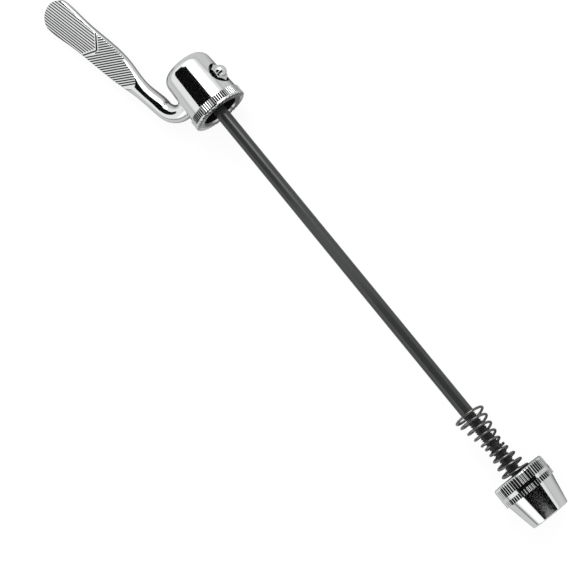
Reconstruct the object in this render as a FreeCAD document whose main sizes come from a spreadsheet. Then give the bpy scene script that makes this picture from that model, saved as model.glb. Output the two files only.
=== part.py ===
"""Quick release skewer, lying on a table as it comes to rest.

Every piece is drawn in the skewer's own axes: X runs along the rod from the head's clamping face to the nut,
Y along the cam shaft towards the acorn nut, Z square to both. The whole skewer is then rolled about the rod
until the lever's edge touches the table that the head's ring stands on.
"""
import FreeCAD, Part
import math
import os
import Sketcher

V = FreeCAD.Vector

doc = FreeCAD.newDocument("QuickReleaseSkewer")
sheet = doc.addObject("Spreadsheet::Sheet", "Sizes")
SIZES = [
    # rod
    ("rod_radius", 2.5),
    ("thread_radius", 2.45),
    ("clamp_span", 169.6),
    ("thread_length", 42.0),
    ("rod_in_nut", 15.0),
    ("rod_end_chamfer", 0.6),
    # head
    ("head_height", 23.15),
    ("head_top_radius", 9.45),
    ("head_base_radius", 10.35),
    ("head_top_fillet", 4.1),
    ("ring_radius", 10.95),
    ("ring_length", 3.7),
    ("ring_lip", 0.8),
    ("ring_chamfer", 0.3),
    ("ring_groove_width", 0.5),
    ("ring_groove_depth", 0.15),
    ("ring_teeth", 76),
    ("tooth_depth", 0.22),
    ("tooth_width", 0.8),
    ("face_teeth", 40),
    ("face_tooth_start", 8.9),
    ("face_tooth_depth", 0.3),
    ("face_tooth_width", 0.8),
    ("mouth_radius", 7.1),
    ("mouth_depth", 4.4),
    ("mouth_chamfer", 0.6),
    ("slot_depth", 18.0),
    # cam shaft
    ("cam_height", 10.7),
    ("cam_radius", 2.5),
    ("cam_throw", 1.2),
    ("journal_radius", 3.8),
    ("journal_proud", 0.3),
    ("stud_radius", 2.0),
    ("running_gap", 0.05),
    # eye of the rod
    ("eye_radius", 5.6),
    ("eye_thickness", 6.0),
    ("eye_side_gap", 0.6),
    ("eye_end_gap", 0.5),
    ("cam_play_along", 0.33),
    ("cam_play_across", 0.15),
    # acorn nut and washer
    ("recess_radius", 4.45),
    ("recess_floor", 7.9),
    ("washer_radius", 4.1),
    ("washer_thickness", 0.6),
    ("washer_teeth", 12),
    ("washer_notch_width", 0.8),
    ("washer_notch_depth", 1.0),
    ("acorn_flats", 6.8),
    ("acorn_base", 1.8),
    ("dome_radius", 2.45),
    ("thread_gap", 0.03),
    # lever
    ("neck_radius", 3.4),
    ("neck_bend", 7.4),
    ("neck_straight", 0.15),
    ("lever_splay", 10.6),
    ("lever_length", 69.2),
    ("throat_start", 14.0),
    ("throat_reach", 20.5),
    ("throat_width", 7.6),
    ("throat_depth", 5.9),
    ("blade_start", 28.0),
    ("blade_root_width", 10.1),
    ("blade_root_depth", 5.1),
    ("blade_mid", 45.0),
    ("blade_mid_width", 11.5),
    ("blade_mid_depth", 4.5),
    ("blade_pad", 59.0),
    ("blade_pad_width", 13.2),
    ("blade_pad_depth", 4.2),
    ("blade_tip_width", 12.1),
    ("blade_tip_depth", 4.0),
    ("blade_bow", 0.5),
    ("tip_bow", 0.1),
    ("blade_fullness", 3.4),
    ("blade_corner", 6.2),
    ("face_level", 1.5),
    ("face_start", 20.2),
    ("face_end_length", 10.0),
    ("face_end_half", 4.6),
    ("rib_pitch", 1.0),
    ("rib_lean", 3.6),
    ("rib_groove_width", 0.7),
    ("rib_groove_depth", 0.2),
    ("slant_pitch", 1.28),
    ("rib_slant", 46.0),
    ("chevron_apex", 41.9),
    ("chevron_aside", 0.65),
    ("chevron_slant", 53.0),
    ("chevron_width", 0.9),
    # springs
    ("wire_radius", 0.48),
    ("spring_wide_radius", 5.6),
    ("spring_narrow_radius", 3.12),
    ("spring_length", 15.0),
    ("spring_turns", 5.5),
    ("spring_end_turns", 0.8),
    ("spring_end_gap", 0.05),
    ("spring_lean", 9.0),
    ("spring_lean_side", 29.0),
    # adjusting nut
    ("nut_length", 18.7),
    ("rim_radius", 10.45),
    ("rim_length", 7.6),
    ("rim_round", 0.9),
    ("rim_band_start", 4.2),
    ("rim_band_width", 1.4),
    ("rim_teeth", 60),
    ("rim_tooth_depth", 0.26),
    ("rim_tooth_width", 0.9),
    ("cone_radius", 9.75),
    ("cone_end_radius", 7.6),
    ("cone_end_round", 0.5),
    ("nut_recess_radius", 6.7),
    ("nut_recess_depth", 3.4),
    ("lock_ring_radius", 4.6),
    ("lock_ring_length", 3.2),
]


class Size:
    """A length of the sheet or a sum of such lengths: its number, and its formula for the document."""

    def __init__(self, value, text):
        self.value = value
        self.text = text

    def joined(self, sign, other, value):
        return Size(value, "({} {} {})".format(self.text, sign, other.text))

    def __add__(self, other):
        other = as_size(other)
        return self.joined("+", other, self.value + other.value)

    def __radd__(self, other):
        return as_size(other) + self

    def __sub__(self, other):
        other = as_size(other)
        return self.joined("-", other, self.value - other.value)

    def __rsub__(self, other):
        return as_size(other) - self

    def __mul__(self, other):
        other = as_size(other)
        return self.joined("*", other, self.value * other.value)

    def __rmul__(self, other):
        return as_size(other) * self

    def __truediv__(self, other):
        other = as_size(other)
        return self.joined("/", other, self.value / other.value)

    def __neg__(self):
        return as_size(0) - self


def as_size(number):
    return number if isinstance(number, Size) else Size(float(number), "{:.9g}".format(number))


def sine(angle):
    return Size(math.sin(math.radians(angle.value)), "sin({} * 1 deg)".format(angle.text))


def cosine(angle):
    return Size(math.cos(math.radians(angle.value)), "cos({} * 1 deg)".format(angle.text))


def tangent(angle):
    return Size(math.tan(math.radians(angle.value)), "tan({} * 1 deg)".format(angle.text))


def enter_size(row, name, number):
    sheet.set("A{}".format(row), name)
    sheet.set("B{}".format(row), "{:.9g}".format(number))
    sheet.setAlias("B{}".format(row), name)
    return Size(float(number), "Sizes.{}".format(name))


size = {}
for row, (name, number) in enumerate(SIZES, start=1):
    size[name] = enter_size(row, name, number)
doc.recompute()


def bind(target, path, length):
    """Ties one property of an object to a formula of the sheet."""
    target.setExpression(path, as_size(length).text)


def bind_pose(target, x, y, z, yaw=0, pitch=0, roll=0):
    """Ties an object's place and its turn, given as yaw, pitch and roll in degrees."""
    place = "; ".join(as_size(length).text for length in (x, y, z))
    turn = "; ".join("{} * 1 deg".format(as_size(angle).text) for angle in (yaw, pitch, roll))
    formula = "create(<<placement>>; create(<<vector>>; {}); create(<<rotation>>; {}))"
    target.setExpression("Placement", formula.format(place, turn))


def new_body(name):
    made = doc.addObject("PartDesign::Body", name)
    made.Label = name
    return made


def origin_feature(body, role):
    return [item for item in body.Origin.OriginFeatures if item.Role == role][0]


def new_sketch(body, name, role, offset=0):
    """A sketch on one of the body's own planes, moved along the plane's normal."""
    sketch = body.newObject("Sketcher::SketchObject", name)
    sketch.AttachmentSupport = [(origin_feature(body, role), "")]
    sketch.MapMode = "FlatFace"
    bind(sketch, "AttachmentOffset.Base.z", offset)
    return sketch


def pin_point(sketch, geometry, end, x, y):
    """Holds one point of the sketch at a place given by the sheet."""
    for kind, length in (("DistanceX", as_size(x)), ("DistanceY", as_size(y))):
        index = sketch.addConstraint(Sketcher.Constraint(kind, -1, 1, geometry, end, length.value))
        sketch.setExpression("Constraints[{}]".format(index), length.text)


def draw_polygon(sketch, points):
    """A closed outline through points of the sheet."""
    points = [(as_size(x), as_size(y)) for x, y in points]
    first = sketch.GeometryCount
    corners = [V(x.value, y.value, 0) for x, y in points]
    for start, stop in zip(corners, corners[1:] + corners[:1]):
        sketch.addGeometry(Part.LineSegment(start, stop))
    count = len(points)
    for number in range(count):
        following = first + (number + 1) % count
        sketch.addConstraint(Sketcher.Constraint("Coincident", first + number, 2, following, 1))
    for number, (x, y) in enumerate(points):
        pin_point(sketch, first + number, 1, x, y)


def draw_circle(sketch, x, y, radius):
    x, y, radius = as_size(x), as_size(y), as_size(radius)
    circle = Part.Circle(V(x.value, y.value, 0), V(0, 0, 1), radius.value)
    index = sketch.addGeometry(circle)
    pin_point(sketch, index, 3, x, y)
    held = sketch.addConstraint(Sketcher.Constraint("Radius", index, radius.value))
    sketch.setExpression("Constraints[{}]".format(held), radius.text)


def draw_obround(sketch, x, half_spread, radius):
    """A slot standing along the sketch's second axis."""
    x, half_spread, radius = as_size(x), as_size(half_spread), as_size(radius)
    upper = Part.Circle(V(x.value, half_spread.value, 0), V(0, 0, 1), radius.value)
    lower = Part.Circle(V(x.value, -half_spread.value, 0), V(0, 0, 1), radius.value)
    left, right = x.value - radius.value, x.value + radius.value
    sketch.addGeometry(Part.ArcOfCircle(upper, 0, math.pi))
    sketch.addGeometry(Part.ArcOfCircle(lower, math.pi, 2 * math.pi))
    sketch.addGeometry(Part.LineSegment(V(left, half_spread.value, 0), V(left, -half_spread.value, 0)))
    sketch.addGeometry(Part.LineSegment(V(right, -half_spread.value, 0), V(right, half_spread.value, 0)))
    for one, end, other, start in ((0, 2, 2, 1), (2, 2, 1, 1), (1, 2, 3, 1), (3, 2, 0, 1)):
        sketch.addConstraint(Sketcher.Constraint("Tangent", one, end, other, start))
    sketch.addConstraint(Sketcher.Constraint("Equal", 0, 1))
    pin_point(sketch, 0, 3, x, half_spread)
    pin_point(sketch, 1, 3, x, -half_spread)
    held = sketch.addConstraint(Sketcher.Constraint("Radius", 0, radius.value))
    sketch.setExpression("Constraints[{}]".format(held), radius.text)


def revolve(body, sketch, name, role):
    turned = body.newObject("PartDesign::Revolution", name)
    turned.Profile = sketch
    turned.ReferenceAxis = (origin_feature(body, role), [""])
    turned.Angle = 360
    return turned


def pad(body, sketch, name, length, both_ways=False, backwards=False):
    raised = body.newObject("PartDesign::Pad", name)
    raised.Profile = sketch
    bind(raised, "Length", length)
    raised.Midplane = both_ways
    raised.Reversed = backwards
    return raised


def pocket(body, sketch, name, depth, both_ways=False, backwards=False):
    """Cuts a sketch away and makes sure that it did meet the body."""
    doc.recompute()
    before = body.Shape.Volume
    cut = body.newObject("PartDesign::Pocket", name)
    cut.Profile = sketch
    bind(cut, "Length", depth)
    cut.Midplane = both_ways
    cut.Reversed = backwards
    doc.recompute()
    if body.Shape.Volume > before - 1e-6:
        raise RuntimeError("{} cuts nothing".format(name))
    return cut


def around(body, features, name, role, count):
    """Repeats features evenly around an axis of the body."""
    ring = body.newObject("PartDesign::PolarPattern", name)
    ring.Originals = features
    ring.Axis = (origin_feature(body, role), [""])
    ring.Angle = 360
    bind(ring, "Occurrences", count)
    body.Tip = ring
    return ring


def primitive(kind, name, pose, **lengths):
    """One of the simple shapes, with its lengths and its pose tied to the sheet."""
    made = doc.addObject(kind, name)
    for path, length in lengths.items():
        bind(made, path, length)
    bind_pose(made, *pose)
    return made


def boolean(kind, name, base, tool):
    made = doc.addObject(kind, name)
    made.Base = base
    made.Tool = tool
    return made


def joined(name, shapes):
    made = doc.addObject("Part::MultiFuse", name)
    made.Shapes = shapes
    return made


def extrusion(name, sketch, length):
    made = doc.addObject("Part::Extrusion", name)
    made.Base = sketch
    made.DirMode = "Normal"
    made.Solid = True
    made.Symmetric = True
    bind(made, "LengthFwd", length)
    return made


def tooth_groove(body, name, outer, depth, width, start, length):
    """One V cut along the rod in a rim, at the top of the rim; its width is that at the rim."""
    sketch = new_sketch(body, name + "_outline", "YZ_Plane", start)
    draw_polygon(sketch, [(0, outer - depth), (width, outer + depth), (-width, outer + depth)])
    return pocket(body, sketch, name, length, backwards=True)


# the head
clamp_back = -size["ring_length"]
groove_back = clamp_back - size["ring_groove_width"]
groove_floor = size["head_base_radius"] - size["ring_groove_depth"]
head_top = -size["head_height"]
head = new_body("head_housing")
head_outline = new_sketch(head, "head_outline", "XY_Plane")
draw_polygon(
    head_outline,
    [
        (-size["mouth_depth"], 0),
        (-size["mouth_depth"], size["mouth_radius"]),
        (-size["mouth_chamfer"], size["mouth_radius"]),
        (0, size["mouth_radius"] + size["mouth_chamfer"]),
        (0, size["ring_radius"] - size["ring_chamfer"]),
        (-size["ring_chamfer"], size["ring_radius"]),
        (clamp_back, size["ring_radius"]),
        (clamp_back, groove_floor),
        (groove_back, groove_floor),
        (groove_back, size["head_base_radius"]),
        (head_top, size["head_top_radius"]),
        (head_top, 0),
    ],
)
revolve(head, head_outline, "head_turned", "X_Axis")
doc.recompute()
top_edges = [
    "Edge{}".format(number)
    for number, edge in enumerate(head.Shape.Edges, start=1)
    if abs(edge.BoundBox.XMin - head_top.value) < 1e-6
    and abs(edge.BoundBox.XMax - head_top.value) < 1e-6
    and edge.BoundBox.YLength > size["head_top_radius"].value
]
head_turned = head.Tip
top_round = head.newObject("PartDesign::Fillet", "head_top_round")
top_round.Base = (head_turned, top_edges)
bind(top_round, "Radius", size["head_top_fillet"])

slot_half_y = size["eye_thickness"] / 2 + size["eye_side_gap"]
slot_half_z = size["eye_radius"] + size["eye_end_gap"]
slot = new_sketch(head, "slot_outline", "YZ_Plane")
draw_polygon(
    slot,
    [
        (slot_half_y, -slot_half_z),
        (slot_half_y, slot_half_z),
        (-slot_half_y, slot_half_z),
        (-slot_half_y, -slot_half_z),
    ],
)
pocket(head, slot, "eye_slot", size["slot_depth"])

journal_bore = new_sketch(head, "journal_bore_outline", "XZ_Plane")
draw_circle(journal_bore, -size["cam_height"], 0, size["journal_radius"] + size["running_gap"])
pocket(head, journal_bore, "journal_bore", size["head_base_radius"] + 1, backwards=True)

stud_bore = new_sketch(head, "stud_bore_outline", "XZ_Plane")
draw_circle(stud_bore, -size["cam_height"], 0, size["stud_radius"] + size["running_gap"])
pocket(head, stud_bore, "stud_bore", size["head_base_radius"] + 1)

nut_recess = new_sketch(head, "acorn_recess_outline", "XZ_Plane", -size["recess_floor"])
draw_circle(nut_recess, -size["cam_height"], 0, size["recess_radius"])
pocket(head, nut_recess, "acorn_recess", size["head_base_radius"])

ring_tooth = tooth_groove(
    head,
    "ring_tooth",
    size["ring_radius"],
    size["tooth_depth"],
    size["tooth_width"],
    clamp_back - size["ring_groove_width"] / 2,
    size["ring_length"] - size["ring_lip"] + size["ring_groove_width"] / 2,
)
around(head, [ring_tooth], "ring_knurl", "X_Axis", size["ring_teeth"])

face_tooth = new_sketch(head, "face_tooth_outline", "XY_Plane", size["face_tooth_start"])
draw_polygon(
    face_tooth,
    [
        (-size["face_tooth_depth"], 0),
        (size["face_tooth_depth"], size["face_tooth_width"]),
        (size["face_tooth_depth"], -size["face_tooth_width"]),
    ],
)
face_groove = pocket(head, face_tooth, "face_tooth", size["ring_radius"], backwards=True)
around(head, [face_groove], "face_serration", "X_Axis", size["face_teeth"])

# the rod, with its eye around the cam
thread_start = size["clamp_span"] + size["rod_in_nut"] - size["thread_length"]
rod_end = size["clamp_span"] + size["rod_in_nut"]
rod = new_body("skewer_rod")
rod_outline = new_sketch(rod, "rod_outline", "XY_Plane")
draw_polygon(
    rod_outline,
    [
        (-size["cam_height"], 0),
        (-size["cam_height"], size["rod_radius"]),
        (thread_start - size["rod_end_chamfer"] / 2, size["rod_radius"]),
        (thread_start, size["thread_radius"]),
        (rod_end - size["rod_end_chamfer"], size["thread_radius"]),
        (rod_end, size["thread_radius"] - size["rod_end_chamfer"]),
        (rod_end, 0),
    ],
)
revolve(rod, rod_outline, "rod_turned", "X_Axis")
eye = new_sketch(rod, "eye_outline", "XZ_Plane")
draw_circle(eye, -size["cam_height"], 0, size["eye_radius"])
pad(rod, eye, "eye", size["eye_thickness"], both_ways=True)
eye_hole = new_sketch(rod, "eye_hole_outline", "XZ_Plane")
eye_hole_spread = size["cam_throw"] + size["cam_play_across"] - size["cam_play_along"]
draw_obround(eye_hole, -size["cam_height"], eye_hole_spread, size["cam_radius"] + size["cam_play_along"])
pocket(rod, eye_hole, "eye_hole", size["eye_thickness"] + 2, both_ways=True)

# the lever: journal, cam and stud first, then the neck's bend and the blade
washer_seat = size["recess_floor"] + size["running_gap"]
acorn_seat = washer_seat + size["washer_thickness"]
journal_end = size["head_base_radius"] + size["journal_proud"]
cam_end = slot_half_y - size["running_gap"]
stud_end = acorn_seat + size["acorn_base"] * 0.9
splay = size["lever_splay"]
bend_angle = 90 - splay
bend_reach = size["neck_bend"] * tangent(bend_angle / 2)
bend_start = journal_end + size["neck_straight"]
lever_offset = bend_start + bend_reach


def along_lever(reach, bow=0):
    """A point at a distance from the corner of the bend, on the lever's line or bowed off it to the side."""
    x = -size["cam_height"] - reach * cosine(splay) - bow * sine(splay)
    y = -lever_offset - reach * sine(splay) + bow * cosine(splay)
    return x, y, 0


journal = primitive(
    "Part::Cylinder",
    "journal",
    (-size["cam_height"], -slot_half_y, 0, 0, 0, 90),
    Radius=size["journal_radius"],
    Height=journal_end - slot_half_y,
)
cam = primitive(
    "Part::Cylinder",
    "cam",
    (-size["cam_height"], cam_end, size["cam_throw"], 0, 0, 90),
    Radius=size["cam_radius"],
    Height=cam_end + slot_half_y,
)
stud = primitive(
    "Part::Cylinder",
    "stud",
    (-size["cam_height"], stud_end, 0, 0, 0, 90),
    Radius=size["stud_radius"],
    Height=stud_end - cam_end,
)
neck = primitive(
    "Part::Cone",
    "neck",
    (-size["cam_height"], -journal_end, 0, 0, 0, 90),
    Radius1=size["journal_radius"],
    Radius2=size["neck_radius"],
    Height=size["neck_straight"],
)
bend = primitive(
    "Part::Torus",
    "neck_bend_arc",
    (-size["cam_height"] - size["neck_bend"], -bend_start, 0, -bend_angle),
    Radius1=size["neck_bend"],
    Radius2=size["neck_radius"],
    Angle3=bend_angle,
)
SECTION_POINTS = 16
FACE_END_SHARE = 0.95
sections = []
for name, reach, width, depth in (
    ("bend_section", bend_reach, 2 * size["neck_radius"], 2 * size["neck_radius"]),
    ("neck_section", size["throat_start"], 2 * size["neck_radius"], 2 * size["neck_radius"]),
    ("throat_section", size["throat_reach"], size["throat_width"], size["throat_depth"]),
):
    pose = along_lever(reach) + (90 + splay, 0, 90)
    sections.append(
        primitive("Part::Ellipse", name, pose, MajorRadius=width / 2, MinorRadius=depth / 2)
    )


def eased(share, power):
    """A share between -1 and 1, pushed outwards by a power below one."""
    return math.copysign(abs(share) ** power, share)


def plate_section(reach, bow, width, depth, fullness):
    """A section square to the lever: an ellipse at fullness 2, a plate with round edges at more."""
    turn = math.radians(splay.value)
    aside = V(-math.sin(turn), math.cos(turn), 0)
    middle = V(*(as_size(length).value for length in along_lever(reach, bow)))
    power = 2 / fullness.value
    points = []
    for step in range(SECTION_POINTS):
        angle = 2 * math.pi * step / SECTION_POINTS
        across = eased(math.cos(angle), power) * width.value / 2
        upwards = eased(math.sin(angle), power) * depth.value / 2
        points.append(middle + aside * across + V(0, 0, upwards))
    curve = Part.BSplineCurve()
    curve.interpolate(points, PeriodicFlag=True)
    return Part.Wire([curve.toShape()])


full = size["blade_fullness"]
for name, reach, bow, width, depth, fullness in (
    ("root_section", "blade_start", "blade_bow", "blade_root_width", "blade_root_depth", 1 + full / 2),
    ("mid_section", "blade_mid", "blade_bow", "blade_mid_width", "blade_mid_depth", full),
    ("pad_section", "blade_pad", "tip_bow", "blade_pad_width", "blade_pad_depth", full),
    ("tip_section", "lever_length", "tip_bow", "blade_tip_width", "blade_tip_depth", full),
):
    section = doc.addObject("Part::Feature", name)
    section.Shape = plate_section(size[reach], size[bow], size[width], size[depth], fullness)
    sections.append(section)
blade = doc.addObject("Part::Loft", "blade_loft")
blade.Sections = sections
blade.Solid = True
blade.MaxDegree = 3

tip_plan = doc.addObject("Sketcher::SketchObject", "tip_plan")
bind_pose(tip_plan, *along_lever(as_size(0), size["tip_bow"]), 180 + splay, 0, 0)


def draw_rounded_end(sketch, start, stop, half, corner):
    """A straight strip whose far end has rounded corners."""
    x0, x1, y1 = start.value, stop.value, half.value
    xc, yc = (stop - corner).value, (half - corner).value
    lower = Part.Circle(V(xc, -yc, 0), V(0, 0, 1), corner.value)
    upper = Part.Circle(V(xc, yc, 0), V(0, 0, 1), corner.value)
    sketch.addGeometry(Part.LineSegment(V(x0, -y1, 0), V(xc, -y1, 0)))
    sketch.addGeometry(Part.ArcOfCircle(lower, -math.pi / 2, 0))
    sketch.addGeometry(Part.LineSegment(V(x1, -yc, 0), V(x1, yc, 0)))
    sketch.addGeometry(Part.ArcOfCircle(upper, 0, math.pi / 2))
    sketch.addGeometry(Part.LineSegment(V(xc, y1, 0), V(x0, y1, 0)))
    sketch.addGeometry(Part.LineSegment(V(x0, y1, 0), V(x0, -y1, 0)))
    for number in range(4):
        sketch.addConstraint(Sketcher.Constraint("Tangent", number, 2, number + 1, 1))
    sketch.addConstraint(Sketcher.Constraint("Coincident", 4, 2, 5, 1))
    sketch.addConstraint(Sketcher.Constraint("Coincident", 5, 2, 0, 1))
    sketch.addConstraint(Sketcher.Constraint("Horizontal", 0))
    sketch.addConstraint(Sketcher.Constraint("Vertical", 2))
    sketch.addConstraint(Sketcher.Constraint("Horizontal", 4))
    sketch.addConstraint(Sketcher.Constraint("Equal", 1, 3))
    pin_point(sketch, 0, 1, start, -half)
    pin_point(sketch, 4, 2, start, half)
    held = sketch.addConstraint(Sketcher.Constraint("Radius", 1, corner.value))
    sketch.setExpression("Constraints[{}]".format(held), corner.text)
    held = sketch.addConstraint(Sketcher.Constraint("DistanceX", -1, 1, 2, 1, x1))
    sketch.setExpression("Constraints[{}]".format(held), stop.text)


draw_rounded_end(
    tip_plan,
    as_size(0),
    size["lever_length"] - size["rib_groove_depth"] / 2,
    size["blade_pad_width"] / 2 + size["running_gap"],
    size["blade_corner"],
)
tip_envelope = extrusion("tip_envelope", tip_plan, 4 * size["neck_radius"])
rounded_blade = boolean("Part::Common", "rounded_blade", blade, tip_envelope)
forging = joined("lever_forging", [journal, cam, stud, neck, bend, rounded_blade])

face_profile = doc.addObject("Sketcher::SketchObject", "face_profile")
bind_pose(face_profile, *along_lever(as_size(0)), 180 + splay, 0, 90)
face_full = size["face_start"] + size["face_end_length"] * FACE_END_SHARE
far_end = size["lever_length"] + size["blade_corner"]
clear_above = 2 * size["neck_radius"]
draw_polygon(
    face_profile,
    [
        (face_full, size["face_level"]),
        (far_end, size["face_level"]),
        (far_end, size["face_level"] + clear_above),
        (face_full, size["face_level"] + clear_above),
    ],
)
face_sweep = extrusion("face_sweep", face_profile, 2 * size["blade_tip_width"])
round_x, round_y, _ = along_lever(size["face_start"] + size["face_end_length"])
face_round = primitive(
    "Part::Ellipse",
    "face_round",
    (round_x, round_y, size["face_level"] + clear_above / 2, splay),
    MajorRadius=size["face_end_length"],
    MinorRadius=size["face_end_half"],
)
face_end = extrusion("face_end", face_round, clear_above)
face_cut = joined("face_cut", [face_sweep, face_end])
faced = boolean("Part::Cut", "faced_forging", forging, face_cut)
doc.recompute()


def rib_grooves():
    """The V grooves of the ribbed face: lengthwise ones at the tip, slanting ones up to the chevron."""
    value = {name: length.value for name, length in size.items()}
    turn = math.radians(value["lever_splay"])
    forward = V(-math.cos(turn), -math.sin(turn), 0)
    aside = V(-math.sin(turn), math.cos(turn), 0)
    corner = V(-value["cam_height"], -lever_offset.value, value["face_level"])
    pitch = value["rib_pitch"]
    edge = value["blade_tip_width"] / 2 + pitch
    end = value["lever_length"] + pitch
    apex = value["chevron_apex"]
    apex_aside = value["chevron_aside"]
    arm = 1 / math.tan(math.radians(value["chevron_slant"]))
    slope = 1 / math.tan(math.radians(value["rib_slant"]))
    lean = math.tan(math.radians(value["rib_lean"]))
    depth = value["rib_groove_depth"]
    narrow = value["rib_groove_width"]
    broad = value["chevron_width"]

    def chevron_at(aside_by):
        """How far out the chevron's line runs, at a distance from the face's middle line."""
        return apex + arm * abs(aside_by - apex_aside)

    def face_limit(aside_by):
        """How near to the neck the face comes, at a distance from its middle line."""
        share = min(abs(aside_by) / value["face_end_half"], 1)
        retreat = min(1 - math.sqrt(1 - share**2), FACE_END_SHARE)
        return value["face_start"] + value["face_end_length"] * retreat

    def last_clear(clear, good, bad):
        """The last place on the way from a good one to a bad one that is still clear."""
        for _ in range(30):
            trial = (good + bad) / 2
            good, bad = (trial, bad) if clear(trial) else (good, trial)
        return good

    def groove(start, stop, width):
        begin = corner + forward * start[0] + aside * start[1]
        finish = corner + forward * stop[0] + aside * stop[1]
        run = finish - begin
        across = run.cross(V(0, 0, 1))
        across.normalize()
        lift = V(0, 0, depth)
        outline = [begin - lift, begin + across * width + lift, begin - across * width + lift]
        return Part.Face(Part.makePolygon(outline + outline[:1])).extrude(run)

    made = []
    for side in (edge, -edge):
        made.append(groove((apex, apex_aside), (chevron_at(side), side), broad))
    rows = int(edge / pitch)
    for row in range(-rows, rows + 1):
        aside_by = row * pitch
        begin = chevron_at(aside_by) + pitch
        if begin < end - pitch:
            made.append(groove((begin, aside_by), (end, aside_by - lean * (end - begin)), narrow))
    outer = int((slope + arm) * edge / value["slant_pitch"])
    inner = int((apex + slope * edge - value["face_start"]) / value["slant_pitch"])
    for number in range(-outer, inner + 1):
        middle = apex - number * value["slant_pitch"]

        def reach(aside_by):
            return middle - slope * (aside_by - apex_aside)

        def clear(aside_by):
            return face_limit(aside_by) + narrow < reach(aside_by) < chevron_at(aside_by) - pitch

        for seed in (apex_aside, -edge, edge):
            if clear(seed):
                top = last_clear(clear, seed, edge)
                low = last_clear(clear, seed, -edge)
                if top - low > pitch:
                    made.append(groove((reach(top), top), (reach(low), low), narrow))
                break
    return Part.makeCompound(made)


grooves = doc.addObject("Part::Feature", "rib_grooves")
grooves.Shape = rib_grooves()
lever = boolean("Part::Cut", "cam_lever", faced, grooves)
lever.Label = "cam_lever"

# the acorn nut and its toothed washer
acorn_pose = (-size["cam_height"], acorn_seat, 0, 0, 0, -90)
acorn_hex = primitive(
    "Part::Prism",
    "acorn_hex",
    acorn_pose,
    Circumradius=size["acorn_flats"] / 2 / cosine(as_size(30)),
    Height=size["acorn_base"],
)
acorn_hex.Polygon = 6
acorn_corners = primitive(
    "Part::Cone",
    "acorn_corners",
    acorn_pose,
    Radius1=size["acorn_flats"] / 2 + size["acorn_base"] * tangent(as_size(60)),
    Radius2=size["acorn_flats"] / 2,
    Height=size["acorn_base"],
)
acorn_foot = boolean("Part::Common", "acorn_foot", acorn_hex, acorn_corners)
acorn_dome = primitive(
    "Part::Sphere",
    "acorn_dome",
    (-size["cam_height"], acorn_seat + size["acorn_base"], 0),
    Radius=size["dome_radius"],
)
acorn_body = joined("acorn_body", [acorn_foot, acorn_dome])
acorn_well = primitive(
    "Part::Cylinder",
    "acorn_well",
    (-size["cam_height"], acorn_seat - size["acorn_base"], 0, 0, 0, -90),
    Radius=size["stud_radius"] + size["thread_gap"],
    Height=2.05 * size["acorn_base"],
)
acorn_solid = boolean("Part::Cut", "acorn_nut", acorn_body, acorn_well)
acorn_solid.Label = "acorn_nut"

washer = new_body("lock_washer")
washer_ring = new_sketch(washer, "washer_outline", "XZ_Plane")
draw_circle(washer_ring, 0, 0, size["washer_radius"])
draw_circle(washer_ring, 0, 0, size["stud_radius"] + 2 * size["running_gap"])
pad(washer, washer_ring, "washer_disc", size["washer_thickness"], backwards=True)
washer_notch = new_sketch(washer, "washer_notch_outline", "XZ_Plane")
notch_half = size["washer_notch_width"] / 2
notch_floor = size["washer_radius"] - size["washer_notch_depth"]
notch_top = size["washer_radius"] + size["washer_notch_depth"]
draw_polygon(
    washer_notch,
    [
        (-notch_half, notch_floor),
        (notch_half, notch_floor),
        (notch_half, notch_top),
        (-notch_half, notch_top),
    ],
)
notch = pocket(washer, washer_notch, "washer_notch", size["washer_thickness"])
around(washer, [notch], "washer_notches", "Y_Axis", size["washer_teeth"])


# the two springs, the same coil turned end for end
def spring_shape(wide_x, towards, phase, lean=0):
    """A conical coil with closed ends; its wide end starts at wide_x and it winds left-handed.

    A coil that leans is sheared along the rod, towards the lever on the side given by the sheet.
    """
    value = {name: length.value for name, length in size.items()}
    wire = value["wire_radius"]
    turns = value["spring_turns"]
    closed = value["spring_end_turns"]
    height = value["spring_length"] - 2 * wire
    end_pitch = 2.6 * wire
    steps = int(16 * turns)
    blend = closed / 2
    side = math.radians(value["spring_lean_side"])

    def openness(turn):
        near = min(turn, turns - turn)
        share = min(max((near - closed + blend) / (2 * blend), 0), 1)
        return share * share * (3 - 2 * share)

    share_open = sum(openness((step + 0.5) * turns / steps) for step in range(steps)) / steps
    open_pitch = (height / turns - end_pitch * (1 - share_open)) / share_open
    points = []
    level = 0
    for step in range(steps + 1):
        turn = step * turns / steps
        radius = value["spring_wide_radius"]
        radius += (value["spring_narrow_radius"] - value["spring_wide_radius"]) * level / height
        angle = math.radians(phase) - towards * 2 * math.pi * turn
        y, z = radius * math.cos(angle), radius * math.sin(angle)
        x = wide_x + towards * (wire + level) - math.tan(lean) * (y * math.sin(side) + z * math.cos(side))
        points.append(V(x, y, z))
        middle = turn + turns / steps / 2
        share = openness(middle)
        level += (open_pitch * share + end_pitch * (1 - share)) * turns / steps
    curve = Part.BSplineCurve()
    curve.interpolate(points)
    start = curve.tangent(curve.FirstParameter)[0]
    ring = Part.Wire([Part.Circle(points[0], start, wire).toShape()])
    return Part.Wire([curve.toShape()]).makePipeShell([ring], True, True)


spring_seat = size["clamp_span"] + size["nut_recess_depth"] - size["spring_end_gap"]
nut_side_start = spring_seat - size["spring_length"]
lean_room = (size["spring_narrow_radius"] + size["wire_radius"]) * tangent(size["spring_lean"])
lever_side_start = nut_side_start - size["spring_end_gap"] - lean_room - size["spring_length"]
nut_spring = doc.addObject("Part::Feature", "nut_side_spring")
nut_spring.Shape = spring_shape(spring_seat.value, -1, 160)
lever_spring = doc.addObject("Part::Feature", "lever_side_spring")
lever_spring.Shape = spring_shape(lever_side_start.value, 1, -100, math.radians(size["spring_lean"].value))

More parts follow.
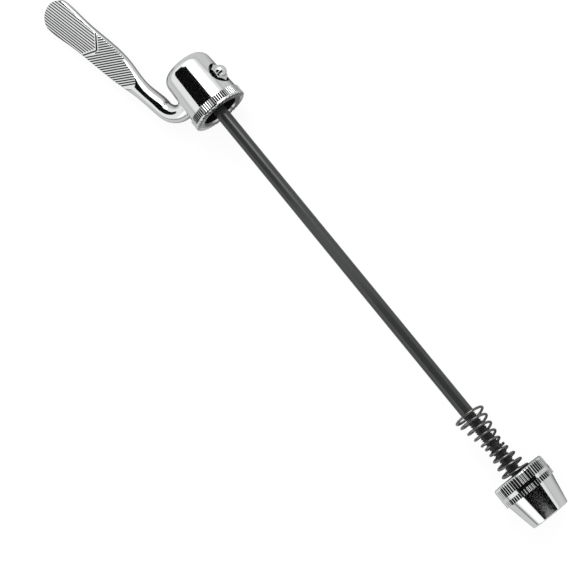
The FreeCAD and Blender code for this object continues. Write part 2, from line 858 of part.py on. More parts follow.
# the adjusting nut with its friction ring
thread_bore = size["thread_radius"] + size["thread_gap"]
band_end = size["rim_band_start"] + size["rim_band_width"]
ring_seat = size["nut_length"] - size["lock_ring_length"]
nut = new_body("adjusting_nut")
nut_outline = new_sketch(nut, "nut_outline", "XY_Plane")
nut_profile = [
    (0, size["nut_recess_radius"]),
    (0, size["rim_radius"]),
    (size["rim_length"], size["rim_radius"]),
    (size["rim_length"], size["cone_radius"]),
    (size["nut_length"], size["cone_end_radius"]),
    (size["nut_length"], size["lock_ring_radius"]),
    (ring_seat, size["lock_ring_radius"]),
    (ring_seat, thread_bore),
    (size["nut_recess_depth"], thread_bore),
    (size["nut_recess_depth"], size["nut_recess_radius"]),
]
draw_polygon(nut_outline, [(size["clamp_span"] + x, y) for x, y in nut_profile])
nut_turned = revolve(nut, nut_outline, "nut_turned", "X_Axis")
doc.recompute()


def circles_at(shape, x, radius):
    """Names of a turned shape's round edges at a place along the rod."""
    found = []
    for number, edge in enumerate(shape.Edges, start=1):
        if isinstance(edge.Curve, Part.Circle) and abs(edge.Curve.Radius - radius) < 1e-6:
            if abs(edge.Curve.Center.x - x) < 1e-6:
                found.append("Edge{}".format(number))
    return found


rim_edge = circles_at(nut.Shape, size["clamp_span"].value, size["rim_radius"].value)
rim_rounding = nut.newObject("PartDesign::Fillet", "rim_rounding")
rim_rounding.Base = (nut_turned, rim_edge)
bind(rim_rounding, "Radius", size["rim_round"])
doc.recompute()
nut_end = size["clamp_span"] + size["nut_length"]
end_rounding = nut.newObject("PartDesign::Fillet", "end_rounding")
end_rounding.Base = (rim_rounding, circles_at(nut.Shape, nut_end.value, size["cone_end_radius"].value))
bind(end_rounding, "Radius", size["cone_end_round"])
rim_teeth = []
for name, start, length in (
    ("front_tooth", -size["rim_round"], size["rim_round"] + size["rim_band_start"]),
    ("back_tooth", band_end, size["rim_length"] - band_end + size["rim_round"]),
):
    cut_from = size["clamp_span"] + start
    rim_teeth.append(
        tooth_groove(
            nut, name, size["rim_radius"], size["rim_tooth_depth"], size["rim_tooth_width"], cut_from, length
        )
    )
around(nut, rim_teeth, "rim_knurl", "X_Axis", size["rim_teeth"])

ring_pose = (size["clamp_span"] + ring_seat, 0, 0, 0, 90)
ring_disc = primitive(
    "Part::Cylinder",
    "ring_disc",
    ring_pose,
    Radius=size["lock_ring_radius"],
    Height=size["lock_ring_length"],
)
ring_bore = primitive(
    "Part::Cylinder", "ring_bore", ring_pose, Radius=thread_bore, Height=size["lock_ring_length"]
)
lock_ring = boolean("Part::Cut", "nylon_lock_ring", ring_disc, ring_bore)
lock_ring.Label = "nylon_lock_ring"
doc.recompute()


def resting_roll(shape, floor):
    """The roll about the rod, in degrees, at which the shape's lowest point comes down to the floor."""
    points = shape.tessellate(0.02)[0]
    low, high = 0.0, 60.0
    for _ in range(50):
        middle = (low + high) / 2
        turn = math.radians(middle)
        lowest = min(point.y * math.sin(turn) + point.z * math.cos(turn) for point in points)
        low, high = (middle, high) if lowest > -floor else (low, middle)
    return (low + high) / 2


# everything rolls together until the lever lies on the table
roll = enter_size(len(SIZES) + 1, "resting_roll", resting_roll(lever.Shape, size["ring_radius"].value))
pieces = [head, rod, lever, acorn_solid, nut_spring, lever_spring, nut, lock_ring]
for piece in pieces:
    bind_pose(piece, 0, 0, 0, 0, 0, roll)
bind_pose(washer, -size["cam_height"], washer_seat * cosine(roll), washer_seat * sine(roll), 0, 0, roll)
pieces.append(washer)
doc.recompute()

for item in doc.Objects:
    if "Invalid" in item.State or "Error" in item.State:
        raise RuntimeError("{} failed: {}".format(item.Name, item.State))
os.makedirs("parts", exist_ok=True)
for piece in pieces:
    if piece.Shape.isNull() or not piece.Shape.isValid():
        raise RuntimeError("{} has no sound shape".format(piece.Label))
    piece.Shape.exportStep("parts/{}.step".format(piece.Label))
    print(piece.Label, len(piece.Shape.Solids), "solid", round(piece.Shape.Volume, 1), "mm3")
print("resting roll", round(roll.value, 3), "degrees")
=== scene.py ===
# %% [markdown]
# # A quick release skewer for a bicycle wheel
# The skewer is a thin steel rod that goes through a hollow wheel axle. A chromed head with a cam lever
# sits on one end and a knurled cone nut on the other, and a small conical spring belongs beside each.
# The measured solids are loaded first, and everything after that is finish: a cut thread, surface
# finishes, a studio and a camera. All lengths in Blender are metres, so a helper turns millimetres
# into metres wherever a size is written.

# %% Load the measured model
import math

import bmesh
import bpy
from mathutils import Matrix, Vector


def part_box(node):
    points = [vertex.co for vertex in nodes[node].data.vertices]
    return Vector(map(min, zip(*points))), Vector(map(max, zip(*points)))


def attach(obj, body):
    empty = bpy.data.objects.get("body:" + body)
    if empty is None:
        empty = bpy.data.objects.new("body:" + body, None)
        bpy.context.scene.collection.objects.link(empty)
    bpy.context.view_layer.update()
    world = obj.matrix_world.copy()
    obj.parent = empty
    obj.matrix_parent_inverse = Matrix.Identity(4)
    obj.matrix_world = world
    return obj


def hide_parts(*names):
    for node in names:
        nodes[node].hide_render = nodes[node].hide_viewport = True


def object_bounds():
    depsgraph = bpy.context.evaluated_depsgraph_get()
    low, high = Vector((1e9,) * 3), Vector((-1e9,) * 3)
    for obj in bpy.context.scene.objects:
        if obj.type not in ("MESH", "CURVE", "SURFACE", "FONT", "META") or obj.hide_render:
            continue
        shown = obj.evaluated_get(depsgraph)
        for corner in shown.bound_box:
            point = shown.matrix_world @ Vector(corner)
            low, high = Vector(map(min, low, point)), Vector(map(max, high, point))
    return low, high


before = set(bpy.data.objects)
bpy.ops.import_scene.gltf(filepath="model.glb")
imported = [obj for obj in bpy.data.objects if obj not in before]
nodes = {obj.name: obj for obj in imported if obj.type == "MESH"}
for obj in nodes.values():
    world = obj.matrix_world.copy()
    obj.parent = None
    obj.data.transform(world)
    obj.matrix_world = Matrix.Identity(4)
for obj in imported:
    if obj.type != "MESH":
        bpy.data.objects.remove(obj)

cad_box = [list(corner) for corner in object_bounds()]


def mm(length):
    """Millimetres as Blender's metres."""
    return length / 1000


print("pieces:", ", ".join(sorted(nodes)))
print("long, wide, high in mm:", [round((b - a) * 1000, 1) for a, b in zip(*cad_box)])

# %% [markdown]
# ## The camera
# A camera can be aimed with a Track To constraint, but a fixed position and fixed angles are easier to
# repeat. The skewer lies on a table and the camera looks down on it from the nut's side, turned so that
# the rod crosses the square picture from upper left to lower right. A long lens keeps the near end and
# the far end about the same size, as in a catalogue picture.

# %% Camera
LENS = 108.0
CAMERA_PLACE = (0.15905, 0.14064, 0.59713)
CAMERA_TURNS = (-3.1425, 17.2847, 49.3652)

camera_data = bpy.data.cameras.new("catalogue_camera")
camera_data.lens = LENS
camera = bpy.data.objects.new("catalogue_camera", camera_data)
camera.location = CAMERA_PLACE
camera.rotation_euler = [math.radians(turn) for turn in CAMERA_TURNS]
bpy.context.scene.collection.objects.link(camera)
bpy.context.scene.camera = camera
print("camera height above the rod in mm:", round(camera.location.z * 1000))

# %% [markdown]
# ## Helpers for finishes
# A colour picked from a screen is an sRGB value, and Blender's shaders work in linear light, so one
# function converts a hex code. Another adds a node, sets it up and links it in one line, which keeps
# each finish short enough to read as a recipe. The third starts an empty material.

# %% Colour, node and material helpers
def paint(hex_code):
    """A hex colour as the linear RGBA that shaders use."""
    channels = [int(hex_code[i : i + 2], 16) / 255 for i in (1, 3, 5)]
    linear = [c / 12.92 if c <= 0.04045 else ((c + 0.055) / 1.055) ** 2.4 for c in channels]
    return (*linear, 1.0)


def add_node(tree, kind, sockets=None, **settings):
    """A node with its settings; a socket gets either a link or a fixed value."""
    node = tree.nodes.new(kind)
    for name, value in settings.items():
        setattr(node, name, value)
    for name, value in (sockets or {}).items():
        if isinstance(value, bpy.types.NodeSocket):
            tree.links.new(value, node.inputs[name])
        else:
            node.inputs[name].default_value = value
    return node


def new_finish(name):
    """An empty material, ready for its nodes."""
    finish = bpy.data.materials.new(name)
    finish.use_nodes = True
    finish.node_tree.nodes.clear()
    return finish, finish.node_tree


print("linear value of mid grey:", round(paint("#808080")[0], 3))

# %% [markdown]
# ## Chrome plate
# Head, lever, acorn nut and cone nut are steel, polished and then plated with nickel and chrome. Chrome
# is a mirror with a slightly cool grey, so nearly all that is seen on it is the studio. A perfect mirror
# looks computed. Real plate has a faint swell from the polishing mop and hair-fine rub marks, so the
# bump is a slow noise of a few millimetres and the roughness changes a little along fine streaks.

# %% Chrome plate
MOP_SWELL = mm(5.0)
SWELL_DEPTH = mm(0.012)
RUB_MARK = mm(0.25)
RUB_STRETCH = (0.06, 1.0, 1.0)
GROOVE_ROUGHNESS = 0.35


def add_chrome(tree, place, groove_shade=0.0):
    """The nodes of polished plate, with painted shade and more roughness where the groove shade mask is 1;
    gives the shader.
    """
    swell = add_node(
        tree, "ShaderNodeTexNoise", {"Vector": place.outputs["Object"], "Scale": 1 / MOP_SWELL, "Detail": 1.0}
    )
    along = add_node(
        tree, "ShaderNodeMapping", {"Vector": place.outputs["Object"], "Scale": RUB_STRETCH}
    )
    rubs = add_node(
        tree, "ShaderNodeTexNoise", {"Vector": along.outputs["Vector"], "Scale": 1 / RUB_MARK, "Detail": 3.0}
    )
    gloss = add_node(
        tree,
        "ShaderNodeMapRange",
        {"Value": rubs.outputs["Fac"], "From Min": 0.3, "From Max": 0.75, "To Min": 0.035, "To Max": 0.1},
    )
    cool = add_node(
        tree,
        "ShaderNodeMix",
        {"Factor": swell.outputs["Fac"], "A": paint("#e0e2e4"), "B": paint("#e6e6e5")},
        data_type="RGBA",
    )
    # Painted shade: where the groove mask is 1, the plate's colour turns to a dark grey.
    groove_shaded_tone = add_node(
        tree,
        "ShaderNodeMix",
        {"Factor": groove_shade, "A": cool.outputs["Result"], "B": paint("#343435")},
        data_type="RGBA",
    )
    dull = add_node(
        tree,
        "ShaderNodeMix",
        {"Factor": groove_shade, "A": gloss.outputs["Result"], "B": GROOVE_ROUGHNESS},
        data_type="FLOAT",
    )
    bump = add_node(
        tree, "ShaderNodeBump", {"Height": swell.outputs["Fac"], "Strength": 0.35, "Distance": SWELL_DEPTH}
    )
    return add_node(
        tree,
        "ShaderNodeBsdfPrincipled",
        {
            "Base Color": groove_shaded_tone.outputs["Result"],
            "Metallic": 1.0,
            "Roughness": dull.outputs["Result"],
            "Normal": bump.outputs["Normal"],
        },
    )


chrome, tree = new_finish("polished_chrome_plate")
plate = add_chrome(tree, add_node(tree, "ShaderNodeTexCoord"))
add_node(tree, "ShaderNodeOutputMaterial", {"Surface": plate.outputs["BSDF"]})
nodes["acorn_nut"].data.materials[0] = chrome
print("plain chrome:", [name for name in nodes if nodes[name].data.materials[0] == chrome])

# %% [markdown]
# ## Painted shade in grooves, bore and recess
# The bottoms of the knurl and rib grooves get painted shade, a dark grey that draws them like lines
# with a pen, and more roughness. The head's mouth and the recess for the acorn nut get painted shade too,
# a near-black dull finish in place of the chrome. These places could be painted by hand. Here masks find
# them, from a point's distance to the rod's axis or its height on the ribbed face. The skewer lies rolled
# over on its side, so each point is first turned back by that roll.

# %% Masks from a point's place
RESTING_ROLL = math.radians(15.747)
FAR = 1.0


def add_own_axes(tree, place):
    """The nodes for a point's place along the rod, along the cam shaft and square to both."""
    rolled = add_node(
        tree, "ShaderNodeMapping", {"Vector": place.outputs["Object"], "Rotation": (-RESTING_ROLL, 0, 0)}
    )
    return add_node(tree, "ShaderNodeSeparateXYZ", {"Vector": rolled.outputs["Vector"]}).outputs


def add_distance(tree, first, second):
    """The nodes for a distance, from its two parts."""
    flat = add_node(tree, "ShaderNodeCombineXYZ", {"X": first, "Y": second})
    return add_node(tree, "ShaderNodeVectorMath", {0: flat.outputs[0]}, operation="LENGTH").outputs["Value"]


def add_mask(tree, *limits):
    """A mask: 1 where both values lie between their limits, each given as value, low, high."""
    inside = {}
    for i, (value, low, high) in enumerate(limits):
        span = {0: value, 1: (low + high) / 2, 2: (high - low) / 2}
        inside[i] = add_node(tree, "ShaderNodeMath", span, operation="COMPARE").outputs[0]
    return add_node(tree, "ShaderNodeMath", inside, operation="MULTIPLY").outputs[0]


print("roll in degrees:", round(math.degrees(RESTING_ROLL), 3))

# %% Chrome with painted shade in the rib grooves, for the lever
RIB_FLOOR, RIB_LIMIT = mm(1.28), mm(1.43)
FACE_START = mm(-30.8)

lever_chrome, tree = new_finish("polished_chrome_plate_with_painted_rib_shade")
place = add_node(tree, "ShaderNodeTexCoord")
own = add_own_axes(tree, place)
# Painted shade: this mask darkens the bottoms of the rib grooves on the face.
ribs = add_mask(tree, (own["Z"], RIB_FLOOR, RIB_LIMIT), (own["X"], -FAR, FACE_START))
plate = add_chrome(tree, place, ribs)
add_node(tree, "ShaderNodeOutputMaterial", {"Surface": plate.outputs["BSDF"]})
nodes["cam_lever"].data.materials[0] = lever_chrome
print("rib grooves darkened up to a height of", RIB_LIMIT * 1000, "mm")

# %% Chrome with painted shade in the knurl, for the cone nut
KNURL_START, KNURL_END = mm(170.5), mm(177.1)
KNURL_FLOOR, KNURL_LIMIT = mm(10.1), mm(10.33)

nut_chrome, tree = new_finish("polished_chrome_plate_with_painted_knurl_shade")
place = add_node(tree, "ShaderNodeTexCoord")
own = add_own_axes(tree, place)
off_axis = add_distance(tree, own["Y"], own["Z"])
# Painted shade: this mask darkens the bottoms of the knurl's grooves.
knurl = add_mask(tree, (own["X"], KNURL_START, KNURL_END), (off_axis, KNURL_FLOOR, KNURL_LIMIT))
plate = add_chrome(tree, place, knurl)
add_node(tree, "ShaderNodeOutputMaterial", {"Surface": plate.outputs["BSDF"]})
nodes["adjusting_nut"].data.materials[0] = nut_chrome
print("nut's knurl darkened up to a radius of", KNURL_LIMIT * 1000, "mm")

# %% Chrome with painted shade in the bore, the recess and the ring's knurl, for the head
MOUTH_RADIUS = mm(7.12)
BORE_FLOOR = mm(-20.0)
CAM_HEIGHT = mm(10.7)
RECESS_RADIUS, RECESS_FLOOR = mm(4.47), mm(7.5)
RING_START, RING_END = mm(-3.68), mm(-0.82)
RING_FLOOR, RING_LIMIT = mm(10.5), mm(10.85)

head_chrome, tree = new_finish("polished_chrome_plate_with_painted_bore_shade")
place = add_node(tree, "ShaderNodeTexCoord")
own = add_own_axes(tree, place)
off_axis = add_distance(tree, own["Y"], own["Z"])
# Painted shade: this mask darkens the bottoms of the ring's knurl grooves.
knurl = add_mask(tree, (own["X"], RING_START, RING_END), (off_axis, RING_FLOOR, RING_LIMIT))
plate = add_chrome(tree, place, knurl)
# Painted shade: the bore and the acorn nut's recess get a near-black dull finish in place of the chrome.
painted_shade = add_node(
    tree,
    "ShaderNodeBsdfPrincipled",
    {"Base Color": paint("#0c0c0c"), "Roughness": 0.65, "Specular IOR Level": 0.2},
)
bore = add_mask(tree, (own["X"], BORE_FLOOR, FAR), (off_axis, -FAR, MOUTH_RADIUS))
from_cam = add_node(tree, "ShaderNodeMath", {0: own["X"], 1: CAM_HEIGHT}, operation="ADD").outputs[0]
off_shaft = add_distance(tree, from_cam, own["Z"])
recess = add_mask(tree, (own["Y"], RECESS_FLOOR, FAR), (off_shaft, -FAR, RECESS_RADIUS))
bore_and_recess_shade = add_node(tree, "ShaderNodeMath", {0: bore, 1: recess}, operation="MAXIMUM").outputs[0]
both = add_node(
    tree, "ShaderNodeMixShader", {0: bore_and_recess_shade, 1: plate.outputs["BSDF"], 2: painted_shade.outputs["BSDF"]}
)
add_node(tree, "ShaderNodeOutputMaterial", {"Surface": both.outputs[0]})
nodes["head_housing"].data.materials[0] = head_chrome
print("bare bore radius in mm:", round(MOUTH_RADIUS * 1000, 2))

# %% [markdown]
# ## Black steel, spring wire, washer and nylon
# The rod is drawn steel with a satin black oxide, a film so thin that some metal still shines through,
# so it takes a soft highlight along its length and shows faint draw lines. The springs are oiled steel
# wire, lighter and glossier. The toothed washer under the acorn nut is plain steel. The friction ring in
# the nut's end is natural nylon, which is milky white. Each could be one flat colour, but a noise of
# the size of its real grain, stretched along the rod where the metal was drawn, keeps it from looking
# painted.

# %% Black oxide finish
DRAW_LINE = mm(0.18)
DRAW_STRETCH = (0.03, 1.0, 1.0)
DRAW_DEPTH = mm(0.01)
OXIDE_SPECK = mm(0.5)

black_oxide, tree = new_finish("satin_black_oxide_steel")
place = add_node(tree, "ShaderNodeTexCoord")
along = add_node(
    tree, "ShaderNodeMapping", {"Vector": place.outputs["Object"], "Scale": DRAW_STRETCH}
)
lines = add_node(
    tree, "ShaderNodeTexNoise", {"Vector": along.outputs["Vector"], "Scale": 1 / DRAW_LINE, "Detail": 4.0}
)
specks = add_node(
    tree, "ShaderNodeTexNoise", {"Vector": place.outputs["Object"], "Scale": 1 / OXIDE_SPECK, "Detail": 4.0}
)
shade = add_node(
    tree,
    "ShaderNodeMix",
    {"Factor": specks.outputs["Fac"], "A": paint("#363737"), "B": paint("#444545")},
    data_type="RGBA",
)
satin = add_node(
    tree,
    "ShaderNodeMapRange",
    {"Value": lines.outputs["Fac"], "From Min": 0.3, "From Max": 0.7, "To Min": 0.11, "To Max": 0.18},
)
bump = add_node(
    tree, "ShaderNodeBump", {"Height": lines.outputs["Fac"], "Strength": 0.3, "Distance": DRAW_DEPTH}
)
oxide = add_node(
    tree,
    "ShaderNodeBsdfPrincipled",
    {
        "Base Color": shade.outputs["Result"],
        "Metallic": 0.5,
        "Roughness": satin.outputs["Result"],
        "Normal": bump.outputs["Normal"],
    },
)
add_node(tree, "ShaderNodeOutputMaterial", {"Surface": oxide.outputs["BSDF"]})
print("black oxide:", len(tree.nodes), "nodes")

# %% Spring wire finish
OIL_FILM = mm(0.6)

spring_wire, tree = new_finish("oiled_spring_wire")
place = add_node(tree, "ShaderNodeTexCoord")
film = add_node(
    tree, "ShaderNodeTexNoise", {"Vector": place.outputs["Object"], "Scale": 1 / OIL_FILM, "Detail": 3.0}
)
shade = add_node(
    tree,
    "ShaderNodeMix",
    {"Factor": film.outputs["Fac"], "A": paint("#6a6a69"), "B": paint("#7e7d7c")},
    data_type="RGBA",
)
gloss = add_node(
    tree,
    "ShaderNodeMapRange",
    {"Value": film.outputs["Fac"], "From Min": 0.3, "From Max": 0.7, "To Min": 0.06, "To Max": 0.12},
)
wire = add_node(
    tree,
    "ShaderNodeBsdfPrincipled",
    {"Base Color": shade.outputs["Result"], "Metallic": 1.0, "Roughness": gloss.outputs["Result"]},
)
add_node(tree, "ShaderNodeOutputMaterial", {"Surface": wire.outputs["BSDF"]})
for name in ("lever_side_spring", "nut_side_spring"):
    nodes[name].data.materials[0] = spring_wire
print("spring wire:", len(tree.nodes), "nodes")

# %% Washer steel and nylon finishes
STEEL_GRAIN = mm(0.2)
NYLON_CLOUD = mm(1.5)

washer_steel, tree = new_finish("stamped_plain_steel")
place = add_node(tree, "ShaderNodeTexCoord")
grain = add_node(
    tree, "ShaderNodeTexNoise", {"Vector": place.outputs["Object"], "Scale": 1 / STEEL_GRAIN, "Detail": 4.0}
)
shade = add_node(
    tree,
    "ShaderNodeMix",
    {"Factor": grain.outputs["Fac"], "A": paint("#a0a0a2"), "B": paint("#c4c4c2")},
    data_type="RGBA",
)
steel = add_node(
    tree,
    "ShaderNodeBsdfPrincipled",
    {"Base Color": shade.outputs["Result"], "Metallic": 1.0, "Roughness": 0.33},
)
add_node(tree, "ShaderNodeOutputMaterial", {"Surface": steel.outputs["BSDF"]})
nodes["lock_washer"].data.materials[0] = washer_steel

nylon, tree = new_finish("natural_nylon")
place = add_node(tree, "ShaderNodeTexCoord")
cloud = add_node(
    tree, "ShaderNodeTexNoise", {"Vector": place.outputs["Object"], "Scale": 1 / NYLON_CLOUD, "Detail": 2.0}
)
shade = add_node(
    tree,
    "ShaderNodeMix",
    {"Factor": cloud.outputs["Fac"], "A": paint("#e4e2d8"), "B": paint("#d8d5c8")},
    data_type="RGBA",
)
plastic = add_node(
    tree,
    "ShaderNodeBsdfPrincipled",
    {"Base Color": shade.outputs["Result"], "Roughness": 0.42, "IOR": 1.53},
)
add_node(tree, "ShaderNodeOutputMaterial", {"Surface": plastic.outputs["BSDF"]})
nodes["nylon_lock_ring"].data.materials[0] = nylon
print("springs, washer and nylon ring have their finishes")

# %% [markdown]
# ## The rod with its cut thread
# The measured rod has a plain cylinder where the real one has an M5 thread. A thread is one V-shaped
# profile carried round the axis while it advances by one pitch a turn, and Blender's spin operator does
# exactly that when it is given a shift for each step. Turns that meet are merged, the ends are cut square
# with a bisecting plane and closed, and the tip is turned down to a chamfer. The shank and the eye are a
# copy of the measured rod, cut where the thread begins.

# %% Thread sizes and the shank
THREAD_LENGTH = mm(42.0)
PITCH = mm(0.8)
CREST_RADIUS = mm(2.45)
ROOT_RADIUS = mm(2.02)
TIP_CHAMFER = mm(0.6)
STEPS_A_TURN = 40
SPARE_TURNS = 2
SAME_POINT = mm(0.001)
ON_THE_CUT = mm(0.0001)
rod_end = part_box("skewer_rod")[1].x
thread_start = rod_end - THREAD_LENGTH


def everything(mesh):
    """All vertices, edges and faces of a bmesh, as the operators take them."""
    return mesh.verts[:] + mesh.edges[:] + mesh.faces[:]


def cut_square(mesh, at, side):
    """Cut a bmesh square to the rod and drop what lies beyond."""
    bmesh.ops.bisect_plane(
        mesh,
        geom=everything(mesh),
        dist=ON_THE_CUT,
        plane_co=(at, 0, 0),
        plane_no=(side, 0, 0),
        clear_outer=True,
    )


def close_ends(mesh):
    """Fill the open ends of a bmesh."""
    bmesh.ops.holes_fill(mesh, edges=[e for e in mesh.edges if e.is_boundary], sides=0)


rod_mesh = bmesh.new()
rod_mesh.from_mesh(nodes["skewer_rod"].data)
bmesh.ops.remove_doubles(rod_mesh, verts=rod_mesh.verts, dist=SAME_POINT)
cut_square(rod_mesh, thread_start, 1)
close_ends(rod_mesh)
print("shank and eye:", len(rod_mesh.faces), "faces")

# %% Spin one turn and repeat it
# The profile runs over one pitch: flat root, rising flank, narrow crest, falling flank, flat root.
THREAD_PROFILE = [
    (0.0, ROOT_RADIUS),
    (0.125, ROOT_RADIUS),
    (0.4375, CREST_RADIUS),
    (0.5625, CREST_RADIUS),
    (0.875, ROOT_RADIUS),
    (1.0, ROOT_RADIUS),
]
TURNS_MEET = mm(0.002)

thread = bmesh.new()
first_turn = thread_start - SPARE_TURNS * PITCH
chain = [thread.verts.new((first_turn + share * PITCH, 0, radius)) for share, radius in THREAD_PROFILE]
ridge = [thread.edges.new(pair) for pair in zip(chain, chain[1:])]
bmesh.ops.spin(
    thread,
    geom=chain + ridge,
    cent=(0, 0, 0),
    axis=(1, 0, 0),
    dvec=(PITCH / STEPS_A_TURN, 0, 0),
    angle=math.tau,
    steps=STEPS_A_TURN,
)
one_turn = everything(thread)
turns = math.ceil(THREAD_LENGTH / PITCH) + 2 * SPARE_TURNS
for turn in range(1, turns):
    copied = bmesh.ops.duplicate(thread, geom=one_turn)["geom"]
    corners = [item for item in copied if isinstance(item, bmesh.types.BMVert)]
    bmesh.ops.translate(thread, verts=corners, vec=(turn * PITCH, 0, 0))
bmesh.ops.remove_doubles(thread, verts=thread.verts, dist=TURNS_MEET)
print("thread:", turns - 2 * SPARE_TURNS, "turns,", len(thread.faces), "faces before it is cut")

# %% Cut the thread to length and turn its tip
cut_square(thread, thread_start, -1)
cut_square(thread, rod_end, 1)
for v in thread.verts:
    limit = CREST_RADIUS - max(0, v.co.x - (rod_end - TIP_CHAMFER))
    if v.co.yz.length > limit:
        v.co.yz *= limit / v.co.yz.length
close_ends(thread)
bmesh.ops.recalc_face_normals(thread, faces=thread.faces)
print("cut thread:", len(thread.faces), "faces")

# %% Join shank and thread in one rod
SHARP_EDGE = math.radians(28)

thread_data = bpy.data.meshes.new("thread_part")
thread.to_mesh(thread_data)
rod_mesh.from_mesh(thread_data)
for face in rod_mesh.faces:
    face.smooth = True
for edge in rod_mesh.edges:
    edge.smooth = len(edge.link_faces) == 2 and edge.calc_face_angle() < SHARP_EDGE
rod_data = bpy.data.meshes.new("threaded_rod")
rod_mesh.to_mesh(rod_data)
rod_data.materials.append(black_oxide)
threaded_rod = bpy.data.objects.new("threaded_rod", rod_data)
bpy.context.scene.collection.objects.link(threaded_rod)
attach(threaded_rod, "rod")
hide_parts("skewer_rod")
thread.free()
rod_mesh.free()
print("rod:", len(rod_data.polygons), "faces")

# %% [markdown]
# ## The table and the tent
# Chrome has no look of its own, so the studio is built for its reflections. A pale table and a white
# tent give the light grey. The table is lit evenly and shows only a faint shadow, because a catalogue
# background is meant to be white. In the chrome the table is a glow with painted shade, darker close to
# the skewer where ambient occlusion finds it. The tent is bright above and darker along its hem, and
# darkest on one side, which gives the round pieces their soft grey edges.

# %% Table
TABLE_TOP = cad_box[0][2]
TABLE_REACH = 3.0
SEEN_WHITE = 0.88
SHADE_REACH = mm(22)

table_white, tree = new_finish("white_table")
path = add_node(tree, "ShaderNodeLightPath")
seen = add_node(
    tree,
    "ShaderNodeMath",
    {0: path.outputs["Is Camera Ray"], 1: path.outputs["Is Transmission Ray"]},
    operation="MAXIMUM",
)
share = add_node(tree, "ShaderNodeMath", {0: seen.outputs[0], 1: SEEN_WHITE}, operation="MULTIPLY")
matt = add_node(tree, "ShaderNodeBsdfDiffuse", {"Color": paint("#f4f4f4")})
glow = add_node(tree, "ShaderNodeEmission", {"Color": (1, 1, 1, 1), "Strength": 1.0})
lit = add_node(tree, "ShaderNodeMixShader", {0: share.outputs[0], 1: matt.outputs[0], 2: glow.outputs[0]})
# Painted shade: in reflections the table glows less where ambient occlusion finds the skewer close by.
shade = add_node(tree, "ShaderNodeAmbientOcclusion", {"Distance": SHADE_REACH}, samples=8)
reflected_shade_level = add_node(
    tree,
    "ShaderNodeMapRange",
    {"Value": shade.outputs["AO"], "From Min": 0.7, "From Max": 0.92, "To Min": 0.12, "To Max": 0.7},
)
painted_reflected_shade = add_node(tree, "ShaderNodeEmission", {"Color": (1, 1, 1, 1), "Strength": reflected_shade_level.outputs["Result"]})
both = add_node(
    tree,
    "ShaderNodeMixShader",
    {0: path.outputs["Is Glossy Ray"], 1: lit.outputs[0], 2: painted_reflected_shade.outputs[0]},
)
add_node(tree, "ShaderNodeOutputMaterial", {"Surface": both.outputs[0]})

top = bmesh.new()
bmesh.ops.create_grid(top, x_segments=1, y_segments=1, size=TABLE_REACH)
bmesh.ops.translate(top, verts=top.verts, vec=(0, 0, TABLE_TOP))
top_data = bpy.data.meshes.new("table")
top.to_mesh(top_data)
top.free()
top_data.materials.append(table_white)
table = bpy.data.objects.new("table", top_data)
bpy.context.scene.collection.objects.link(table)
print("table top at", round(TABLE_TOP * 1000, 2), "mm")

# %% White tent all round
TENT_FILL = 1.1
DARK_SIDE = (0.7, -0.7, 0)

world = bpy.data.worlds.new("white_tent")
bpy.context.scene.world = world
world.use_nodes = True
tree = world.node_tree
tree.nodes.clear()
path = add_node(tree, "ShaderNodeLightPath")
place = add_node(tree, "ShaderNodeTexCoord")
axes = add_node(tree, "ShaderNodeSeparateXYZ", {"Vector": place.outputs["Generated"]})
aside = add_node(
    tree, "ShaderNodeVectorMath", {0: place.outputs["Generated"], 1: DARK_SIDE}, operation="DOT_PRODUCT"
)
hem = add_node(
    tree,
    "ShaderNodeMapRange",
    {"Value": aside.outputs["Value"], "From Min": 0.5, "From Max": 0.9, "To Min": 0.6, "To Max": 0.15},
)
wall = add_node(
    tree,
    "ShaderNodeMapRange",
    {
        "Value": axes.outputs["Z"],
        "From Min": 0.04,
        "From Max": 0.32,
        "To Min": hem.outputs["Result"],
        "To Max": 1.0,
    },
    interpolation_type="SMOOTHSTEP",
)
fill = add_node(tree, "ShaderNodeBackground", {"Color": (1, 1, 1, 1), "Strength": TENT_FILL})
tent = add_node(tree, "ShaderNodeBackground", {"Color": (1, 1, 1, 1), "Strength": wall.outputs["Result"]})
seen = add_node(tree, "ShaderNodeBackground", {"Color": (1, 1, 1, 1), "Strength": 1.0})
lit = add_node(
    tree,
    "ShaderNodeMixShader",
    {0: path.outputs["Is Glossy Ray"], 1: fill.outputs[0], 2: tent.outputs[0]},
)
straight = add_node(
    tree,
    "ShaderNodeMath",
    {0: path.outputs["Is Camera Ray"], 1: path.outputs["Is Transmission Ray"]},
    operation="MAXIMUM",
)
both = add_node(tree, "ShaderNodeMixShader", {0: straight.outputs[0], 1: lit.outputs[0], 2: seen.outputs[0]})
add_node(tree, "ShaderNodeOutputWorld", {"Surface": both.outputs[0]})
bpy.context.scene.view_settings.view_transform = "Standard"
print("tent strength for diffuse light:", TENT_FILL)

# %% [markdown]
# ## Soft boxes
# Soft boxes give the white streaks. Each is placed by the direction in which the metal looks: an angle
# from straight up towards the acorn nut's side, and a tilt along the rod. A fabric grid keeps the light
# within a cone, so that the box's mirror image fades towards its edges instead of ending in a hard line.
# Only the first mirror in a row shows it, because chrome that mirrors other chrome at its very edge would
# break up into white specks.

# %% Soft boxes
HEAD = Vector((mm(-12), 0, 0))
NUT = Vector((mm(180), 0, 0))
SPRINGS = Vector((mm(155), 0, 0))
BOX_DISTANCE = 0.7
BOX_CONE = 46
SECOND_MIRROR = 2


def facing(aim, angle, tilt, distance):
    """A panel's place and turn: its Z axis points away from the aim and its X axis runs along the rod."""
    a, t = math.radians(angle), math.radians(tilt)
    away = Vector((math.sin(t), math.cos(t) * math.sin(a), math.cos(t) * math.cos(a)))
    along_rod = (Vector((1, 0, 0)) - away * away.x).normalized()
    across = away.cross(along_rod)
    turn = Matrix((along_rod, across, away)).transposed().to_4x4()
    return Matrix.Translation(aim + away * distance) @ turn


def spread(degrees, distance):
    """The width of a panel that fills so many degrees at a distance."""
    return 2 * distance * math.tan(math.radians(degrees / 2))


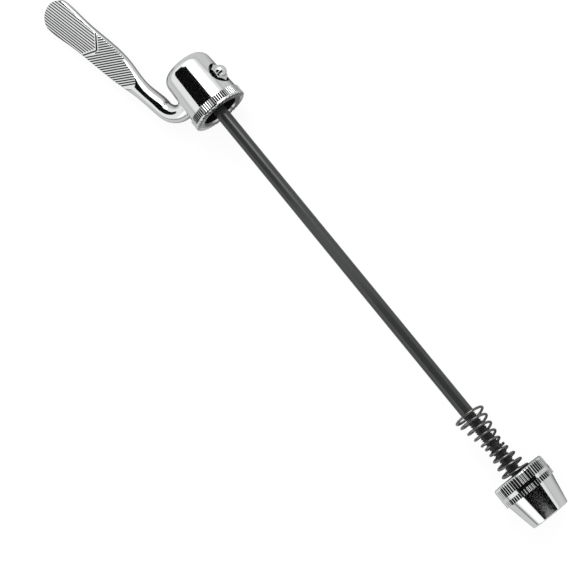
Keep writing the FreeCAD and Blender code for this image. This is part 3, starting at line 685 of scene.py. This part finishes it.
def soft_box(name, aim, angle, tilt, wide, long, radiance):
    """A lamp behind a grid; the radiance is the brightness at which the chrome sees its middle."""
    lamp = bpy.data.lights.new(name, "AREA")
    lamp.shape = "RECTANGLE"
    lamp.size = spread(long, BOX_DISTANCE)
    lamp.size_y = spread(wide, BOX_DISTANCE)
    half = math.radians(BOX_CONE / 2)
    lamp.spread = 2 * half
    gathered = math.tan(half) / (math.tan(half) - half)
    lamp.energy = radiance * math.pi * lamp.size * lamp.size_y / gathered
    lamp.use_nodes = True
    tree = lamp.node_tree
    tree.nodes.clear()
    path = add_node(tree, "ShaderNodeLightPath")
    first = add_node(
        tree, "ShaderNodeMath", {0: path.outputs["Glossy Depth"], 1: SECOND_MIRROR}, operation="LESS_THAN"
    )
    glow = add_node(tree, "ShaderNodeEmission", {"Strength": first.outputs[0]})
    add_node(tree, "ShaderNodeOutputLight", {"Surface": glow.outputs[0]})
    box = bpy.data.objects.new(name, lamp)
    box.matrix_world = facing(aim, angle, tilt, BOX_DISTANCE)
    box.visible_camera = False
    bpy.context.scene.collection.objects.link(box)


soft_box("head_soft_box", HEAD, angle=43, tilt=-26, wide=40, long=44, radiance=7.0)
soft_box("spring_soft_box", SPRINGS, angle=32, tilt=-42, wide=36, long=36, radiance=4.5)
soft_box("nut_soft_box", NUT, angle=-52, tilt=22, wide=40, long=40, radiance=0.6)

# %% [markdown]
# ## Flags and a card
# Black flags give the crisp dark bands that make metal look polished. A flag could be a flat panel, but
# a round drum mirrors a flat panel with slanting ends, so a straight edge is spun about the rod's
# direction into a bent one. A grey card next to the nut's flag lets the dark band fade towards the small
# end. Flags and card are seen in reflections only, so they take no light away from the skewer.

# %% Flags and card
FLAG_DISTANCE = 0.6
FLAG_STEPS = 24
CARD_EDGE = 24.4

flag_black, tree = new_finish("black_flag_cloth")
weave = add_node(tree, "ShaderNodeBsdfDiffuse", {"Color": paint("#0a0a0a")})
add_node(tree, "ShaderNodeOutputMaterial", {"Surface": weave.outputs[0]})
card_grey, tree = new_finish("grey_card")
board = add_node(tree, "ShaderNodeBsdfDiffuse", {"Color": paint("#8c8c8c")})
add_node(tree, "ShaderNodeOutputMaterial", {"Surface": board.outputs[0]})


def flag(name, aim, angles, tilts, cloth):
    """A panel that only reflections show, bent round the rod's direction."""
    sheet = bmesh.new()
    first = math.radians(angles[0])
    ends = []
    for tilt in tilts:
        away = Vector((math.tan(math.radians(tilt)), math.sin(first), math.cos(first)))
        ends.append(sheet.verts.new(aim + FLAG_DISTANCE * away))
    bmesh.ops.spin(
        sheet,
        geom=ends + [sheet.edges.new(ends)],
        cent=aim,
        axis=(-1, 0, 0),
        angle=math.radians(angles[1] - angles[0]),
        steps=FLAG_STEPS,
    )
    data = bpy.data.meshes.new(name)
    sheet.to_mesh(data)
    sheet.free()
    data.materials.append(cloth)
    panel = bpy.data.objects.new(name, data)
    bpy.context.scene.collection.objects.link(panel)
    panel.visible_camera = panel.visible_diffuse = panel.visible_shadow = False


flag("head_flag", HEAD, angles=(-45, 21), tilts=(-46, -2), cloth=flag_black)
flag("nut_flag", NUT, angles=(-30, 64), tilts=(-10, CARD_EDGE), cloth=flag_black)
flag("nut_card", NUT, angles=(-30, 64), tilts=(CARD_EDGE, 40), cloth=card_grey)
